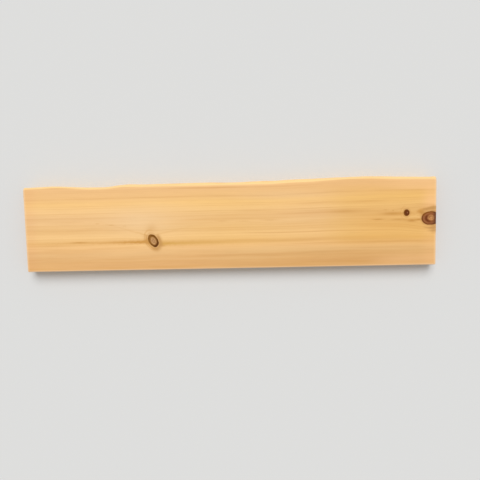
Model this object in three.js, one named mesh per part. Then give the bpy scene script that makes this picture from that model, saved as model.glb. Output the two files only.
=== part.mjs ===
// A live-edge pine plank: planed, with one long edge and both ends sawn square and eased,
// and the other long edge left as the round outside of the log, with the bark taken off.
// It lies flat with the face that was nearer to the heart of the log on top.
// Millimetres. X runs along the grain, Y from the sawn edge to the live edge, Z up.
// The origin is the middle of the underside's bounding rectangle.

import * as THREE from 'three';

// Sawn sizes
const length = 1200;
const width = 261; // from the sawn edge to the widest place of the live edge
const thickness = 45;

// The saw ran through the heart of the log, which lay in the plane of the sawn edge.
const heartHeight = 140; // above the underside

// Easing
const arrisRadius = 3; // long sawn arrises and the arrises of both ends
const cornerRadius = 5; // in plan, where the live edge meets an end
const footSoftening = 6; // reach of the softened arris between the live edge and the underside

// The wane is the sanded rounding between the ridge of the live edge and the upper face.
const waneSteepness = 0.6; // its depth as a share of its breadth
const waneFullness = 0.45; // 0 would be a flat bevel, and 1 a sharp corner

// Live edge along the plank. Each row is a place between the left end at 0 and the right end
// at 100, how far the ridge falls short of the full width there, and the breadth of the wane.
const liveEdgeRows = [
  [0, 12.0, 8.0],
  [4, 9.9, 9.0],
  [8, 9.0, 7.5],
  [12, 11.2, 8.5],
  [16, 13.5, 10.0],
  [20.5, 13.6, 9.5],
  [24, 8.7, 10.5],
  [26, 7.4, 12.0],
  [29, 8.4, 12.0],
  [36, 7.9, 13.0],
  [45, 7.1, 15.0],
  [52.5, 8.4, 13.0],
  [58, 6.2, 15.5],
  [61.5, 6.5, 15.0],
  [65.5, 4.0, 16.0],
  [70, 3.5, 15.0],
  [74, 1.6, 13.5],
  [79, 0.5, 11.0],
  [84, 0.0, 11.5],
  [89, 2.1, 12.0],
  [94, 3.9, 11.5],
  [100, 5.5, 11.0],
];

// Fineness of the loft
const stepsPerRow = 4;
const stepsPerCorner = 8;
const stepsPerCurve = 4;

const [rightEnd] = liveEdgeRows.at(-1);
const rowPlaces = liveEdgeRows.map(([place]) => (place / rightEnd) * length);
const rowValues = liveEdgeRows.flatMap(([, shortfall, wane]) => [shortfall, wane]);
const liveEdge = new THREE.CubicInterpolant(rowPlaces, rowValues, 2);

// How far a rounding of the given radius pulls a surface in, at a distance from its corner.
function pulledIn(radius, distance) {
  const reach = Math.max(radius - distance, 0);
  return radius - Math.sqrt(radius ** 2 - reach ** 2);
}

// Places along the plank where a section is drawn: close together in the rounded ends,
// and even from each row of the live edge to the next.
function sectionPlaces() {
  const endZone = Math.max(cornerRadius, arrisRadius);
  const nearEnd = [];
  for (let step = 0; step < stepsPerCorner; step += 1) {
    const angle = (step / stepsPerCorner) * (Math.PI / 2);
    nearEnd.push(endZone * (1 - Math.cos(angle)));
  }
  const stops = [endZone, ...rowPlaces.slice(1, -1), length - endZone];
  const between = [endZone];
  for (let stop = 1; stop < stops.length; stop += 1) {
    for (let step = 1; step <= stepsPerRow; step += 1) {
      between.push(THREE.MathUtils.lerp(stops[stop - 1], stops[stop], step / stepsPerRow));
    }
  }
  const farEnd = nearEnd.map((place) => length - place).reverse();
  return [...nearEnd, ...between, ...farEnd];
}

// One section through the plank, as a turn of points whose x is the distance from the
// sawn edge and whose y is the height. It starts at the foot of the sawn edge, and runs by
// the underside, the live edge and the upper face.
function sectionAt(place) {
  const fromEnd = Math.min(place, length - place);
  const eased = pulledIn(arrisRadius, fromEnd);
  const [shortfall, wane] = liveEdge.evaluate(place);

  const low = eased;
  const high = thickness - eased;
  const sawn = eased;

  // Below its ridge, the live edge is an arc about the heart of the log.
  const outermost = width - shortfall - pulledIn(cornerRadius, fromEnd);
  const ridge = new THREE.Vector2(outermost, high - wane * waneSteepness);
  const heart = new THREE.Vector2(0, heartHeight);
  const logRadius = ridge.distanceTo(heart);
  const angleAt = (height) => -Math.asin((heartHeight - height) / logRadius);
  const foot = low + footSoftening;
  const side = new THREE.EllipseCurve(
    heart.x, heart.y, logRadius, logRadius, angleAt(foot), angleAt(ridge.y));
  const sideFoot = side.getPoint(0);
  const sideTop = side.getPoint(1);
  const sharpFoot = Math.sqrt(logRadius ** 2 - (heartHeight - low) ** 2);

  // The wane leaves the arc in the arc's own direction and runs out level on the upper face.
  const leaving = side.getTangent(1).multiplyScalar(wane * waneSteepness * waneFullness).add(sideTop);
  const waneEnd = outermost - wane;
  const arriving = waneEnd + wane * waneFullness;

  const turn = new THREE.Path();
  turn.absarc(sawn + arrisRadius, low + arrisRadius, arrisRadius, Math.PI, 1.5 * Math.PI);
  turn.lineTo(sharpFoot - footSoftening, low);
  turn.quadraticCurveTo(sharpFoot, low, sideFoot.x, sideFoot.y);
  turn.add(side);
  turn.moveTo(sideTop.x, sideTop.y);
  turn.bezierCurveTo(leaving.x, leaving.y, arriving, high, waneEnd, high);
  turn.absarc(sawn + arrisRadius, high - arrisRadius, arrisRadius, 0.5 * Math.PI, Math.PI);
  return turn.getPoints(stepsPerCurve);
}

// Skins the sections, which all have the same number of points, and closes both ends.
function loft(places, sections) {
  const perTurn = sections[0].length;
  const positions = [];
  const indices = [];
  sections.forEach((section, index) => {
    section.forEach(({ x, y }) => positions.push(places[index], x, y));
  });
  for (let row = 0; row < sections.length - 1; row += 1) {
    for (let point = 0; point < perTurn; point += 1) {
      const here = row * perTurn + point;
      const next = row * perTurn + (point + 1) % perTurn;
      indices.push(here, next, here + perTurn);
      indices.push(next, next + perTurn, here + perTurn);
    }
  }
  const farEnd = (sections.length - 1) * perTurn;
  for (const [a, b, c] of THREE.ShapeUtils.triangulateShape(sections[0], [])) {
    indices.push(a, c, b);
  }
  for (const [a, b, c] of THREE.ShapeUtils.triangulateShape(sections.at(-1), [])) {
    indices.push(farEnd + a, farEnd + b, farEnd + c);
  }
  const geometry = new THREE.BufferGeometry();
  geometry.setAttribute('position', new THREE.Float32BufferAttribute(positions, 3));
  geometry.setIndex(indices);
  geometry.computeVertexNormals();
  return geometry;
}

function makePlank() {
  const places = sectionPlaces();
  const geometry = loft(places, places.map(sectionAt));
  geometry.computeBoundingBox();
  const { min, max } = geometry.boundingBox;
  geometry.translate(-(min.x + max.x) / 2, -(min.y + max.y) / 2, -min.z);
  const finishedPine = new THREE.MeshStandardMaterial({
    color: 0xecbd82,
    roughness: 0.5,
    metalness: 0,
  });
  const plank = new THREE.Mesh(geometry, finishedPine);
  plank.name = 'plank';
  return plank;
}

const group = new THREE.Group();
group.add(makePlank());

export default group;
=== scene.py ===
import math

import bpy
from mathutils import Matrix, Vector


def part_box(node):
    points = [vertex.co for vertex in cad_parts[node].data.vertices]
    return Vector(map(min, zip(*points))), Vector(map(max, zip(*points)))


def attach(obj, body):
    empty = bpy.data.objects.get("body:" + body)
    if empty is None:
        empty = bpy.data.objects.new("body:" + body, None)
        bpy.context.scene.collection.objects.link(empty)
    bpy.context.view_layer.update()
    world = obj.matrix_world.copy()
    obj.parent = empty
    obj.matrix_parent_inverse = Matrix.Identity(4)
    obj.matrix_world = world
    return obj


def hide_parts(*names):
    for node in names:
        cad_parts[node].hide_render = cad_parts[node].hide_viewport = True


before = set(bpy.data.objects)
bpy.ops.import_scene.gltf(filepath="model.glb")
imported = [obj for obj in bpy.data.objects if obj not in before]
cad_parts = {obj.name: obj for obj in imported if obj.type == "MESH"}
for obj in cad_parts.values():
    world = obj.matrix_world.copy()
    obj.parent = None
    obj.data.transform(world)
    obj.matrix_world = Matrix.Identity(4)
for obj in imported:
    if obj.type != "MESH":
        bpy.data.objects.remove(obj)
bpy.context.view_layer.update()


# ---------------------------------------------------------------------------------------------
# The board. One piece of pine, ripped along the heart of the log, planed on both faces and
# sanded, with the log's own debarked side left on its far edge. It is fixed to nothing.

board_low, board_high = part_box("plank")

bpy.ops.object.select_all(action="DESELECT")
sawn_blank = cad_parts["plank"]
sawn_blank.select_set(True)
bpy.context.view_layer.objects.active = sawn_blank
bpy.ops.object.duplicate()
board = bpy.context.object
board.name = "live_edge_board"

bpy.ops.object.mode_set(mode="EDIT")
bpy.ops.mesh.select_all(action="SELECT")
bpy.ops.mesh.remove_doubles(threshold=1e-6)
bpy.ops.mesh.tris_convert_to_quads(
    face_threshold=math.radians(40), shape_threshold=math.radians(180))
bpy.ops.mesh.select_all(action="DESELECT")
bpy.ops.object.mode_set(mode="OBJECT")

# The sawn ends become one face each with a narrow border, and cuts along the board keep its
# faces narrow.
end_border = 0.0015
lengthwise_cuts = 6
for face in board.data.polygons:
    at_end = abs(face.center.x) > board_high.x - 1e-5
    face.select = at_end and abs(face.normal.x) > 0.9999
bpy.ops.object.mode_set(mode="EDIT")
bpy.ops.mesh.select_mode(type="FACE")
bpy.ops.mesh.dissolve_faces()
bpy.ops.mesh.inset(thickness=end_border, depth=0)
cut_spacing = (board_high.y - board_low.y) / (lengthwise_cuts + 1)
for cut in range(lengthwise_cuts):
    cut_y = board_low.y + cut_spacing * (cut + 1)
    bpy.ops.mesh.select_all(action="SELECT")
    bpy.ops.mesh.bisect(plane_co=(0, cut_y, 0), plane_no=(0, 1, 0))
bpy.ops.object.mode_set(mode="OBJECT")

rounding = board.modifiers.new("rounding", "SUBSURF")
rounding.levels = 2
rounding.render_levels = 2
bpy.ops.object.modifier_apply(modifier=rounding.name)
bpy.ops.object.shade_smooth()


def smoothstep(low, high, value):
    share = min(max((value - low) / (high - low), 0), 1)
    return share * share * (3 - 2 * share)


def on_debarked_side(vertex):
    from_end = board_high.x - abs(vertex.co.x)
    return smoothstep(0.35, 0.85, vertex.normal.y) * smoothstep(0.004, 0.02, from_end)


def on_arris(vertex):
    squarest_facing = max(abs(facing) for facing in vertex.normal)
    return smoothstep(0.02, 0.3, 1 - squarest_facing)


# The log's own hollows on the debarked side, and the uneven sanding of the arrises. Each is
# worn inwards only, with its length along the grain, its breadth and its depth in metres.
reliefs = [
    ("hollows", on_debarked_side, 0.060, 0.016, 0.0013),
    ("fibres", on_debarked_side, 0.035, 0.0045, 0.0006),
    ("sanding", on_arris, 0.030, 0.008, 0.0004),
]
for relief_name, weight_of, relief_length, relief_breadth, relief_depth in reliefs:
    worn = board.vertex_groups.new(name=relief_name)
    for vertex in board.data.vertices:
        weight = weight_of(vertex)
        if weight > 0:
            worn.add([vertex.index], weight, "REPLACE")
    bpy.ops.object.empty_add(location=(0, 0, 0))
    stretch = bpy.context.object
    stretch.scale = (relief_length, relief_breadth, relief_breadth)
    unevenness = bpy.data.textures.new(relief_name, "CLOUDS")
    unevenness.noise_scale = 1.0
    unevenness.noise_depth = 1
    bpy.context.view_layer.update()
    bpy.context.view_layer.objects.active = board
    wearing = board.modifiers.new(relief_name, "DISPLACE")
    wearing.texture = unevenness
    wearing.texture_coords = "OBJECT"
    wearing.texture_coords_object = stretch
    wearing.vertex_group = worn.name
    wearing.strength = relief_depth
    wearing.mid_level = 1.0
    bpy.ops.object.modifier_apply(modifier=wearing.name)
    bpy.data.objects.remove(stretch)
    bpy.data.textures.remove(unevenness)
board.vertex_groups.clear()

evening = board.modifiers.new("evening", "WEIGHTED_NORMAL")
evening.weight = 100
bpy.ops.object.modifier_apply(modifier=evening.name)


# ---------------------------------------------------------------------------------------------
# The board's wood: knotty pine under a clear satin lacquer. Its pattern is solid, so the faces,
# the ends and the live edge all cut through the same rings and the same knots.

def tone(red, green, blue):
    """A colour written in screen values, as the linear colour that a shader takes."""
    def linear(value):
        share = value / 255
        return share / 12.92 if share <= 0.04045 else ((share + 0.055) / 1.055) ** 2.4
    return (linear(red), linear(green), linear(blue), 1)


class Grain:
    """A node's output, which can be used in sums like a number."""

    nodes = None
    links = None

    def __init__(self, socket):
        self.socket = socket

    @classmethod
    def node(cls, kind, settings=None, sockets=None, output=0):
        """Adds a node: its settings first, then the values or links of its sockets."""
        made = cls.nodes.new(kind)
        for name, value in (settings or {}).items():
            if name == "stops":
                while len(made.color_ramp.elements) < len(value):
                    made.color_ramp.elements.new(1)
                for stop, (position, colour) in zip(made.color_ramp.elements, value):
                    stop.position = position
                    stop.color = colour
            else:
                setattr(made, name, value)
        for key, value in (sockets or {}).items():
            if isinstance(value, Grain):
                cls.links.new(value.socket, made.inputs[key])
            else:
                made.inputs[key].default_value = value
        return cls(made.outputs[output])

    def sum_with(self, operation, *values):
        sockets = dict(enumerate((self, *values)))
        return self.node("ShaderNodeMath", {"operation": operation}, sockets)

    def __add__(self, other):
        return self.sum_with("ADD", other)

    def __sub__(self, other):
        return self.sum_with("SUBTRACT", other)

    def __rsub__(self, other):
        return -self + other

    def __neg__(self):
        return self * -1

    def __abs__(self):
        return self.sum_with("ABSOLUTE")

    def __mul__(self, other):
        return self.sum_with("MULTIPLY", other)

    def __truediv__(self, other):
        return self.sum_with("DIVIDE", other)

    def __rtruediv__(self, other):
        return self ** -1 * other

    def __pow__(self, other):
        return self.sum_with("POWER", other)

    __radd__ = __add__
    __rmul__ = __mul__

    def at_least(self, limit):
        return self.sum_with("MAXIMUM", limit)

    def at_most(self, limit):
        return self.sum_with("MINIMUM", limit)

    def bell(self, width):
        """1 where this value is 0, falling smoothly to nothing at a few widths from it."""
        return (self * self * (-1 / width ** 2)).sum_with("EXPONENT")

    def rise(self, low, high):
        """0 below low, 1 above high and smooth between them."""
        sockets = {"Value": self, "From Min": low, "From Max": high}
        return self.node("ShaderNodeMapRange", {"interpolation_type": "SMOOTHSTEP"}, sockets)

    def fall(self, low, high):
        """1 below low, 0 above high and smooth between them."""
        return 1 - self.rise(low, high)


pine = bpy.data.materials.new("finished_pine")
pine.use_nodes = True
Grain.nodes = pine.node_tree.nodes
Grain.links = pine.node_tree.links
lacquered = pine.node_tree.nodes["Principled BSDF"]


def parts_of(vector):
    """A vector's x, y and z."""
    return [Grain.node("ShaderNodeSeparateXYZ", sockets={0: vector}, output=axis)
            for axis in range(3)]


# All places and sizes in the wood are in millimetres, from the middle of the board's length and
# breadth and from its underside.
metre = 1000
object_place = Grain.node("ShaderNodeTexCoord", output=3)
place = Grain.node("ShaderNodeVectorMath", {"operation": "SCALE"}, {0: object_place, "Scale": metre})
x, y, z = parts_of(place)
facing_x, facing_y, facing_z = parts_of(Grain.node("ShaderNodeTexCoord", output=1))
board_top = board_high.z * metre
depth = board_top - z


def drift(length, breadth, detail=1.0, start=0.0):
    """Smooth noise from -1 to 1 whose features have this length along the grain."""
    spread = Grain.node("ShaderNodeVectorMath", {"operation": "MULTIPLY_ADD"}, {
        0: place, 1: (1 / length, 1 / breadth, 1 / breadth), 2: (start, start, start)})
    noise = Grain.node("ShaderNodeTexNoise", {"noise_dimensions": "3D"}, {
        "Vector": spread, "Scale": 1.0, "Detail": detail, "Roughness": 0.55})
    return noise * 2 - 1


def lay(mask, under, over, way="MIX"):
    """Lays one colour over another where the mask is 1."""
    settings = {"data_type": "RGBA", "blend_type": way}
    return Grain.node("ShaderNodeMix", settings, {0: mask, 6: under, 7: over}, output=2)


def lay_all(under, layers):
    """Lays colours over another, each with its mask, its strength, its colour and its way."""
    for mask, strength, colour, *way in layers:
        under = lay(mask * strength, under, tone(*colour), *way)
    return under


# Knots: branches that cross the board from its upper face to its underside, each on its own
# slant. Each has its centre on the upper face, its radius there, its lean for each millimetre
# that it goes down, the place of its own heart from its centre, and its squareness, which is 2
# for a plain oval.
wobble = 1.3
wobble_along = drift(9, 9, start=3.1) * wobble
wobble_across = drift(9, 9, start=8.7) * wobble


class Branch:
    """A knot's own coordinates: the places along and across, and its share of the radius."""

    widening = 0.007
    streak_wobble = 0.7
    streak_fade_in = 12

    def __init__(self, centre, radius, lean, heart, squareness=2.0):
        self.lean = lean
        self.squareness = squareness
        self.radius = radius * (1 + depth * self.widening)
        self.along = x - centre[0] - depth * lean[0] + wobble_along
        self.across = y - centre[1] - depth * lean[1] + wobble_across
        self.share = self.share_at(self.along, self.across)
        self.inside = self.share.fall(0.96, 1.04)
        towards_heart = (1 - self.share).at_least(0)
        self.ring = self.share_at(self.along - towards_heart * heart[0],
                                  self.across - towards_heart * heart[1])

    def share_at(self, along, across):
        """A leaning branch is cut into an oval, which is long in the direction of its lean."""
        slope = math.hypot(*self.lean)
        lean_x, lean_y = self.lean[0] / slope, self.lean[1] / slope
        long_way = (along * lean_x + across * lean_y) / math.hypot(1, slope)
        short_way = across * lean_x - along * lean_y
        total = abs(long_way) ** self.squareness + abs(short_way) ** self.squareness
        return total ** (1 / self.squareness) / self.radius

    def bow(self, amount, reach, breadth):
        """How far the knot pushes the grain aside."""
        spread = (self.along / reach) ** 2 + (self.across / breadth) ** 2
        return self.across * (-spread).sum_with("EXPONENT") * amount

    def streak(self, side, reach, breadth, offset, slope, start):
        """A line along the grain, which runs out from one side of the knot."""
        away = self.along * side
        off_line = self.across - offset - away * slope + wobble_across * self.streak_wobble
        faded_in = away.rise(start, start + self.streak_fade_in)
        return off_line.bell(breadth) * faded_in / (1 + (away / reach) ** 2)

    def halo(self, share, breadth):
        """A ring in the wood about the knot, at this share of its radius."""
        return (self.share - share).bell(breadth)


oval_knot = Branch(centre=(-222.1, -43.9), radius=13.75, lean=(-0.56, 0.99), heart=(1.0, -1.5))
pin_knot = Branch(centre=(514.8, 21.8), radius=8.6, lean=(0.0, 0.6), heart=(3.5, 1.0))
end_knot = Branch(centre=(583.5, 5.5), radius=19.4, lean=(-0.9, -0.04), heart=(2.5, 1.5),
                  squareness=2.2)
pushed = (
    oval_knot.bow(amount=-0.35, reach=60, breadth=30)
    + pin_knot.bow(amount=0.9, reach=26, breadth=13)
    + end_knot.bow(amount=0.92, reach=62, breadth=32)
)

# Rings: arcs about the heart of the log, which ran above the sawn edge. The log swells towards
# the board's right end, and its years were uneven.
heart_y = board_low.y * metre
heart_z = 140
inner_radius = 50
log_radius = 280
most_swelling = 7
ring_width = 6.1
uneven_spell = 33
uneven_rings = 1.6
ring_rise = heart_z - z
ring_run = y - pushed - heart_y
straight_radius = (ring_run ** 2 + ring_rise ** 2).sum_with("SQRT")
swelling = x.rise(120, 330) * (straight_radius / log_radius) ** 2 * most_swelling
waviness = drift(420, 160, start=1.7) * 2.4 + drift(90, 40, start=5.2) * 0.6
radius = straight_radius - swelling + waviness

uneven_years = Grain.node("ShaderNodeTexNoise", {"noise_dimensions": "1D"}, {
    "W": radius / uneven_spell, "Detail": 1.0})
year = radius / ring_width + uneven_years * uneven_rings
season = year.sum_with("FRACT")
year_draw = Grain.node("ShaderNodeTexWhiteNoise", {"noise_dimensions": "1D"}, {
    "W": year.sum_with("FLOOR")})
fading = drift(170, 12, start=4.4) * 0.9 + 0.55
latewood = season.rise(0.35, 0.9) * season.fall(0.93, 1.0) * (year_draw * 0.7 + 0.3)
latewood = latewood * fading.rise(0.0, 1.0)

# Broad bands of colour from the inner rings to the outer ones, each at a radius in the log. The
# inner bands, towards the sawn edge,
# are darker: partly the wood's own tone, partly painted shade, as the light falls from the live-edge
# side.
band_tones = [
    (95, (229, 178, 118)),
    (100, (230, 181, 121)),
    (107, (235, 189, 130)),
    (117, (245, 197, 136)),
    (126, (238, 190, 124)),
    (138, (246, 201, 138)),
    (153, (237, 191, 129)),
    (167, (241, 197, 139)),
    (182, (238, 193, 136)),
    (199, (246, 201, 139)),
    (219, (248, 201, 132)),
    (233, (242, 194, 131)),
    (254, (240, 192, 133)),
]
radius_span = log_radius - inner_radius
band_stops = [((band - inner_radius) / radius_span, tone(*colour)) for band, colour in band_tones]
bands = Grain.node("ShaderNodeValToRGB", {"stops": band_stops}, {
    0: (radius - inner_radius) / radius_span})
wood = lay(latewood * 0.6, bands, tone(219, 165, 98))

# Years with a darker ring: the ring's place on the upper face from the sawn edge, its breadth,
# the middle and the reach of its dark part along the board, and its strength.
upper_rise = heart_z - board_top
dark_years = [
    (16, 1.6, 200, 700, 0.3),
    (32, 1.3, 330, 150, 0.25),
    (35, 3.0, -500, 130, 0.2),
    (39, 1.5, 60, 330, 0.4),
    (43, 1.3, 440, 230, 0.3),
    (49, 3.0, -80, 120, 0.28),
    (52, 1.1, 470, 180, 0.3),
    (56, 4.5, -510, 140, 0.3),
    (71, 1.6, 480, 150, 0.3),
    (80, 2.2, 100, 300, 0.35),
    (102, 1.5, 230, 260, 0.4),
    (121, 5.0, -460, 150, 0.2),
    (146, 1.6, -100, 380, 0.25),
    (157, 5.0, 290, 130, 0.35),
    (168, 7.0, 110, 90, 0.2),
    (184, 4.0, 330, 170, 0.4),
    (213, 2.0, 0, 600, 0.3),
    (238, 2.6, -20, 200, 0.5),
]
for from_sawn_edge, breadth, middle, reach, strength in dark_years:
    dark_ring = (radius - math.hypot(from_sawn_edge, upper_rise)).bell(breadth)
    dark_part = (x - middle).bell(reach) * fading.rise(-0.2, 0.8) * strength
    wood = lay(dark_ring * dark_part, wood, tone(206, 148, 84))

# Weathered tints: a creamy patch over the oval knot, a browner right half, gold in the middle and
# towards the right end, and paler or rosier wood at the ends and the corners. The sawn side is
# browner too: partly its tone, partly painted shade, as the light falls from the live-edge side.
cream_patch = (x + 250).bell(105) * (y - 16).bell(38)
sawn_side = x.rise(-120, 60) * y.fall(-85, -45)
golden_length = (x - 5).bell(170) * 0.55 + x.rise(250, 360)
golden_middle = golden_length * y.rise(-78, -48) * y.fall(82, 112)
golden_end = x.rise(320, 430) * (y + 5).bell(50)
near_corner = x.rise(370, 500) * y.fall(-112, -86)
rosy_end = x.rise(545, 590) * ((y - 50).bell(35) * 0.5 + 0.2) * y.fall(95, 115)
rosy_band = (x - 170).bell(190) * (y - 82).bell(14)
far_corner = x.rise(400, 540) * y.rise(86, 93)
clouds = drift(300, 55, start=6.3).rise(0.0, 0.5)
wood = lay_all(wood, [
    (cream_patch, 0.6, (244, 207, 158)),
    (x.rise(20, 420), 0.8, (249, 245, 238), "MULTIPLY"),
    (sawn_side, 1.0, (251, 252, 249), "MULTIPLY"),
    (golden_middle, 1.0, (252, 250, 233), "MULTIPLY"),
    (golden_end, 1.0, (254, 249, 237), "MULTIPLY"),
    (x.fall(-590, -550), 0.8, (253, 248, 250), "MULTIPLY"),
    (near_corner, 0.35, (244, 194, 138)),
    (rosy_end, 1.0, (252, 198, 140)),
    (rosy_band, 0.35, (234, 196, 148)),
    (far_corner, 0.3, (254, 205, 149)),
    (clouds, 0.2, (238, 188, 120)),
])

# Fibres, which shade the wood, and small flecks.
fibre = drift(38, 1.0, detail=3.0, start=2.2)
fine_fibre = drift(70, 0.45, start=14.6)
flame = drift(150, 9, detail=2.0, start=9.1)
shade = 1 + fibre * 0.06 + fine_fibre * 0.03 + flame * 0.03
wood = Grain.node("ShaderNodeVectorMath", {"operation": "SCALE"}, {0: wood, "Scale": shade})
flecks = drift(22, 1.3, start=7.7).rise(0.52, 0.62)
wood = lay(flecks * 0.2, wood, tone(178, 120, 64))

# Small resin marks in the upper face: places, reach along the grain, breadth and strength.
mark_depth = 12
resin_marks = [
    (-525, -54.5, 75, 3.6, 0.3),
    (-440, -45.5, 24, 1.8, 0.85),
    (-385, 9.0, 6, 1.4, 0.35),
    (-345, 4.0, 7, 1.2, 0.35),
    (-305, 0.5, 6, 1.2, 0.3),
    (-226, -8.0, 17, 13, 0.28),
    (-196, -58.5, 11, 4.0, 0.45),
    (-178, -51.6, 12, 2.6, 0.35),
    (-20, 9.5, 14, 1.6, 0.3),
    (45, 8.0, 16, 1.3, 0.3),
    (120, 9.5, 20, 1.5, 0.35),
    (337, 29.5, 45, 5.5, 0.35),
    (433, 4.8, 17, 2.0, 0.9),
    (454, 32.0, 7, 1.4, 0.4),
    (474, 20.5, 30, 4.6, 0.8),
    (476, 29.5, 2.4, 1.8, 0.6),
    (492, 3.6, 24, 3.0, 0.6),
    (530, -0.4, 13, 4.2, 1.0),
    (550, 2.4, 8, 2.4, 1.0),
    (554, 24.5, 8, 5.0, 0.75),
    (561, 20.5, 8, 6.0, 0.9),
    (567, 15.0, 5, 6.0, 0.7),
    (575, 44.0, 28, 3.6, 0.22),
]
marks = 0
for mark_x, mark_y, reach, breadth, strength in resin_marks:
    from_mark = Grain.node("ShaderNodeVectorMath", {"operation": "MULTIPLY_ADD"}, {
        0: place, 1: (1 / reach, 1 / breadth, 1 / mark_depth),
        2: (-mark_x / reach, -mark_y / breadth, -board_top / mark_depth)})
    distance = Grain.node("ShaderNodeVectorMath", {"operation": "LENGTH"}, {0: from_mark}, output=1)
    marks = distance.bell(1.0) * strength + marks
wood = lay(marks.at_most(1), wood, tone(202, 146, 76))


def streaks_of(courses):
    """Streaks beside the knots: knot, side, reach, breadth, offset, slope, start and strength."""
    return sum(knot.streak(*course) * strength for knot, *course, strength in courses)


# Paler wood between the streaks and where the grain turns about the knots.
pale_flanks = streaks_of([
    (oval_knot, -1, 45, 3.5, 6.0, 0, 8, 0.5),
    (oval_knot, -1, 55, 3.0, -13.0, 0, 2, 1.6),
    (oval_knot, 1, 70, 5.0, 6.0, 0, 22, 0.4),
    (end_knot, -1, 45, 2.2, 4.5, 0, 18, 0.8),
])
wood = lay(pale_flanks * 0.5, wood, tone(251, 206, 141))

# Resin that runs out of the knots and lies about them. A dark arch stands over the end knot.
resin_streaks = streaks_of([
    (oval_knot, -1, 85, 6.0, -3.0, 0, 0, 1.0),
    (oval_knot, -1, 240, 2.4, -3.8, 0, 0, 0.38),
    (oval_knot, -1, 60, 2.4, 10.5, 0.3, 0, 0.35),
    (oval_knot, 1, 55, 2.2, 15.0, 0.22, 0, 0.25),
    (pin_knot, -1, 30, 3.4, -1.0, 0, 0, 0.6),
    (pin_knot, 1, 16, 3.4, -1.0, 0, 0, 0.5),
    (end_knot, -1, 60, 2.0, -4.6, 0, 16, 0.7),
])
long_resin_streak = oval_knot.streak(
    side=1, reach=200, breadth=6.2, offset=-8.9, slope=0, start=6)
left_of_oval_knot = (-oval_knot.along).rise(-4, 10)
lower_left_of_oval_knot = (-oval_knot.along - oval_knot.across * 0.8).rise(0, 12)
left_of_pin_knot = (-pin_knot.along).rise(0, 10)
arch_top = 28.2
arch_tilt = 0.12
arch_spread = 20
arch_breadth = 4.6
arch_height = end_knot.along * arch_tilt + arch_top - (end_knot.along / arch_spread) ** 2
arch = (end_knot.across - arch_height).bell(arch_breadth) * (end_knot.along + 46).rise(0, 18)
around_knots = (
    resin_streaks
    + oval_knot.halo(1.62, 0.1) * left_of_oval_knot * 0.35
    + oval_knot.halo(1.25, 0.22) * lower_left_of_oval_knot * 0.65
    + pin_knot.halo(2.0, 0.16) * left_of_pin_knot * 0.3
    + arch * 0.75
)
wood = lay(around_knots.at_most(0.95), wood, tone(208, 150, 74))
wood = lay(long_resin_streak * 0.85, wood, tone(214, 163, 80))

# Greyer wood where the grain is disturbed: close about the knots, and across the margin of the
# board's end beside the end knot.
beside_oval_knot = (22 - abs(oval_knot.across)).rise(0, 10)
right_of_oval_knot = (oval_knot.along - oval_knot.across * 0.4).rise(-2, 13)
under_end_knot = (-end_knot.across).rise(4, 16) * (end_knot.along + 26).rise(0, 14)
beside_end_knot = x.rise(578, 592) * abs(y - 2).fall(34, 46)
disturbed = (
    oval_knot.halo(1.14, 0.16) * 0.4
    + oval_knot.halo(1.6, 0.35) * beside_oval_knot * 0.26
    + oval_knot.halo(1.35, 0.32) * right_of_oval_knot * 0.65
    + pin_knot.halo(1.2, 0.25) * 0.5
    + arch * (end_knot.along + 34).rise(0, 20) * 0.5
    + arch * (end_knot.along + 8).bell(14) * 0.5
    + end_knot.halo(1.08, 0.1) * 0.6
    + end_knot.halo(1.5, 0.4) * under_end_knot * (end_knot.along + 14).rise(0, 14) * 0.3
    + end_knot.halo(1.44, 0.12) * under_end_knot * 0.6
    + end_knot.halo(1.9, 0.1) * under_end_knot * (end_knot.along + 16).rise(0, 14) * 0.35
    + beside_end_knot * 0.45
)
wood = lay(disturbed.at_most(0.95), wood, tone(199, 148, 86))

# The flesh of the knots: the colours of their rings, their mottling, their pores and their
# small drying checks.
knot_drift = drift(4.5, 4.5, detail=2.0, start=12.3)
mottled = drift(3.6, 3.6, start=19.5).rise(-0.15, 0.35)
pore_places = Grain.node("ShaderNodeTexVoronoi", sockets={"Vector": place, "Scale": 0.75})
pores = pore_places.fall(0.1, 0.5)
check_places = Grain.node("ShaderNodeTexVoronoi", {"feature": "DISTANCE_TO_EDGE"}, {
    "Vector": place, "Scale": 0.11})
checks = check_places.fall(0.01, 0.035)


def knot_flesh(knot, rings, mottling=0.3):
    """Colours from the knot's own heart to its bark, then its mottling and its pores."""
    stops = [(share, tone(*colour)) for share, colour in rings]
    flesh = Grain.node("ShaderNodeValToRGB", {"stops": stops}, {0: knot.ring + knot_drift * 0.05})
    return lay_all(flesh, [
        (mottled * knot.ring.fall(0.4, 0.6), mottling, (132, 82, 44)),
        (pores, 0.22, (120, 70, 30)),
    ])


oval_flesh = knot_flesh(oval_knot, [
    (0.0, (174, 124, 74)), (0.14, (212, 164, 112)), (0.24, (172, 122, 70)),
    (0.36, (214, 166, 112)), (0.54, (188, 138, 82)), (0.64, (140, 92, 28)),
    (0.76, (114, 68, 2)), (0.9, (124, 76, 10)), (1.0, (152, 102, 36)),
], mottling=0.55)
shaded_rim = (oval_knot.along * 0.8 - oval_knot.across * 0.5).rise(2, 16)
weathered_rim = (-oval_knot.along - 3).rise(0, 8)
oval_flesh = lay_all(oval_flesh, [
    (checks, 0.4, (120, 74, 26)),
    (shaded_rim * oval_knot.share.rise(0.55, 0.75), 0.7, (82, 34, 0)),
    (weathered_rim * oval_knot.share.rise(0.55, 0.7), 0.5, (160, 108, 44)),
])
wood = lay(oval_knot.inside, wood, oval_flesh)

pin_flesh = knot_flesh(pin_knot, [
    (0.0, (172, 118, 76)), (0.1, (148, 96, 56)), (0.28, (98, 44, 0)), (0.58, (92, 38, 0)),
    (0.8, (116, 62, 6)), (0.92, (138, 86, 28)), (1.0, (158, 106, 44)),
])
wood = lay(pin_knot.inside, wood, pin_flesh)

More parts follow.
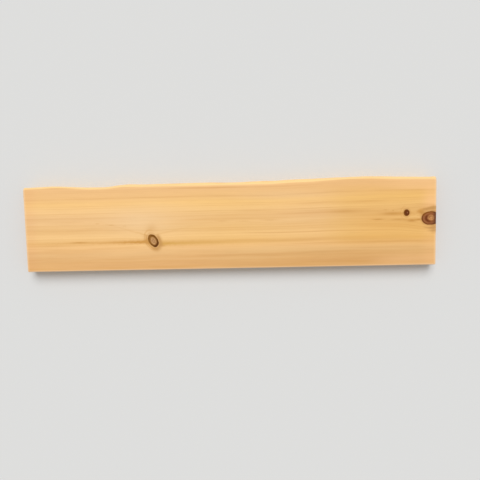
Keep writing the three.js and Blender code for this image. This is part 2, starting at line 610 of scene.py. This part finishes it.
end_flesh = knot_flesh(end_knot, [
    (0.0, (178, 116, 64)), (0.08, (214, 154, 98)), (0.17, (184, 124, 70)),
    (0.28, (208, 148, 90)), (0.37, (190, 128, 74)), (0.48, (152, 92, 46)),
    (0.6, (142, 80, 38)), (0.72, (166, 106, 64)), (0.82, (154, 96, 56)),
    (0.89, (118, 60, 16)), (1.0, (118, 62, 14)),
])
crescent_side = (-end_knot.along - end_knot.across * 0.3 + 3).rise(0, 14)
crescent = (end_knot.ring - 0.53).bell(0.16) * crescent_side * (13 - end_knot.across).rise(0, 9)
hook_side = (end_knot.across * 1.2 - end_knot.along - 1).rise(0, 6)
hook = (end_knot.ring - 0.24).bell(0.07) * hook_side
crown = (end_knot.across - 2).rise(0, 9) * end_knot.share.rise(0.68, 0.84)
umber = (-end_knot.across).rise(9, 15) * (end_knot.along + 13).rise(0, 14)
end_flesh = lay_all(end_flesh, [
    (crescent, 0.95, (108, 50, 12)),
    (hook, 0.7, (134, 76, 34)),
    (crown, 0.85, (138, 78, 16)),
    (umber, 0.6, (122, 66, 32)),
    # Painted shade: the knot's upper face darkens over its last ten millimetres towards the board's
    # end, partly its own colour.
    (x.rise(587, 597) * facing_z, 0.8, (94, 54, 30)),
    (checks, 0.35, (108, 56, 22)),
])
wood = lay(end_knot.inside, wood, end_flesh)
knots = oval_knot.inside + pin_knot.inside + end_knot.inside

# The sawn edge runs along the heart, so the rings show on it as plain straight lines.
sawn_edge = (-facing_y).rise(0.6, 0.95)
wood = lay(sawn_edge * latewood * 0.5, wood, tone(200, 140, 74))

# End grain drinks more lacquer, so it is darker, its rings are plainer and rays cross them.
ray_length = 16
ray_depth = 14
rays_in_a_turn = 110
end_grain = abs(facing_x).rise(0.75, 0.97)
turned = ring_run.sum_with("ARCTAN2", ring_rise)
ray_place = Grain.node("ShaderNodeCombineXYZ", sockets={
    0: x / ray_depth, 1: radius / ray_length, 2: turned * rays_in_a_turn})
rays = Grain.node("ShaderNodeTexNoise", sockets={"Vector": ray_place, "Scale": 1.0, "Detail": 2.0})
end_checks = rays.rise(0.68, 0.72) * end_grain
end_rings = season.rise(0.3, 0.9) * season.fall(0.94, 1.0) * (year_draw * 0.5 + 0.5)
wood = lay_all(wood, [
    (end_grain, 0.8, (234, 214, 188), "MULTIPLY"),
    (end_grain * end_rings * (1 - knots), 0.6, (166, 104, 50)),
    (end_grain * rays.rise(0.5, 0.62), 0.25, (190, 134, 80)),
    (end_checks, 0.7, (120, 72, 34)),
])

# The live edge is the pale wood straight under the bark. Its fibres lie bare, it is browner in
# its hollows, and a few flakes of the inner bark are left on it.
live_edge = facing_y.rise(0.1, 0.4) * y.rise(95, 106)
steep = facing_y.rise(0.45, 0.95)
bare_fibre = drift(30, 1.1, detail=3.0, start=21.0)
stained = drift(85, 12, detail=3.0, start=27.0).rise(-0.05, 0.6)
bark_flakes = drift(20, 3.4, detail=4.0, start=17.0).rise(0.3, 0.42) * steep
under_bark = lay_all(tone(250, 211, 147), [
    (stained, steep * 0.45 + 0.15, (226, 172, 106)),
    (bare_fibre.rise(0.0, 0.6), steep * 0.45 + 0.1, (206, 148, 88)),
    (bark_flakes, 0.6, (176, 116, 66)),
])
wood = lay(live_edge * 0.88, wood, under_bark)

# Painted highlights: the sanded arrises, and a narrow margin beside them, are painted paler, as
# where they catch the light.
rounded = 1 - (facing_x ** 4 + facing_y ** 4 + facing_z ** 4)
arris_highlight = rounded.rise(0.0, 0.25) * y.fall(84, 100)
end_highlight_margin = abs(x).rise(592, 598) * (1 - end_grain)
sawn_highlight_margin = y.fall(heart_y + 1.5, heart_y + 6) * facing_z
arris_highlight = arris_highlight.at_least(end_highlight_margin * 0.65).at_least(sawn_highlight_margin * 0.75)
plain_wood = (1 - knots) * (1 - beside_end_knot * 0.8)
wood = lay(arris_highlight * 0.65 * plain_wood, wood, tone(251, 216, 174))
Grain.links.new(wood.socket, lacquered.inputs["Base Color"])

# The lacquer: satin, duller on the end grain, and thin enough for the fibres to be felt.
satin = 0.46
sheen = drift(60, 25, start=11.0) * 0.04 - latewood * 0.04 + end_grain * 0.16 - knots * 0.05
Grain.links.new((satin + sheen).socket, lacquered.inputs["Roughness"])
ridges = drift(75, 3.6, detail=2.0, start=31.0)
felt = fibre * 0.35 + latewood * 0.3 - checks * knots * 0.8 - end_checks * 1.2
felt = felt + live_edge * (bare_fibre * 3.2 + bark_flakes * 3.0 + ridges * 7)
bump = Grain.node("ShaderNodeBump", sockets={"Strength": 0.5, "Distance": 0.0001, "Height": felt})
Grain.links.new(bump.socket, lacquered.inputs["Normal"])
lacquered.inputs["Specular IOR Level"].default_value = 0.15

board.data.materials.clear()
board.data.materials.append(pine)

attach(board, "root")
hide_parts("plank")


# ---------------------------------------------------------------------------------------------
# The studio: a plain pale floor, a large soft lamp behind and above the board, a world that
# lights it evenly, and the camera that looks down on it.

bpy.ops.mesh.primitive_plane_add(size=200, location=(0, 0, 0))
floor = bpy.context.object
floor.name = "studio_floor"
floor_paint = bpy.data.materials.new("floor_paint")
floor_paint.use_nodes = True
matt = floor_paint.node_tree.nodes["Principled BSDF"]
matt.inputs["Base Color"].default_value = (0.72, 0.72, 0.71, 1)
matt.inputs["Roughness"].default_value = 0.9
matt.inputs["Specular IOR Level"].default_value = 0.0
floor.data.materials.append(floor_paint)

world = bpy.data.worlds.new("studio")
bpy.context.scene.world = world
world.use_nodes = True
Grain.nodes = world.node_tree.nodes
Grain.links = world.node_tree.links
to_camera, to_gloss, to_glass = [
    Grain.node("ShaderNodeLightPath", output=ray_kind)
    for ray_kind in ("Is Camera Ray", "Is Glossy Ray", "Is Transmission Ray")]
seen = to_camera.at_least(to_gloss).at_least(to_glass)
world_light = 0.46
seen_brighter_by = 0.26
background = world.node_tree.nodes["Background"]
background.inputs["Color"].default_value = (1, 1, 1, 1)
Grain.links.new((world_light + seen * seen_brighter_by).socket, background.inputs["Strength"])

bpy.ops.object.light_add(type="SUN", location=(0, 2.4, 3.6))
lamp = bpy.context.object
lamp.data.angle = math.radians(40)
lamp.data.energy = 2.1
lamp.rotation_euler = (Vector((0, 0, 0)) - lamp.location).to_track_quat("-Z", "Y").to_euler()

bpy.ops.object.camera_add(location=(0.0662, 0.0768, 1.4414))
camera = bpy.context.object
camera.rotation_euler = [math.radians(angle) for angle in (-5.10, 1.275, -1.28)]
camera.data.lens = 36
camera.data.sensor_width = 36
bpy.context.scene.camera = camera
bpy.context.scene.view_settings.view_transform = "Standard"
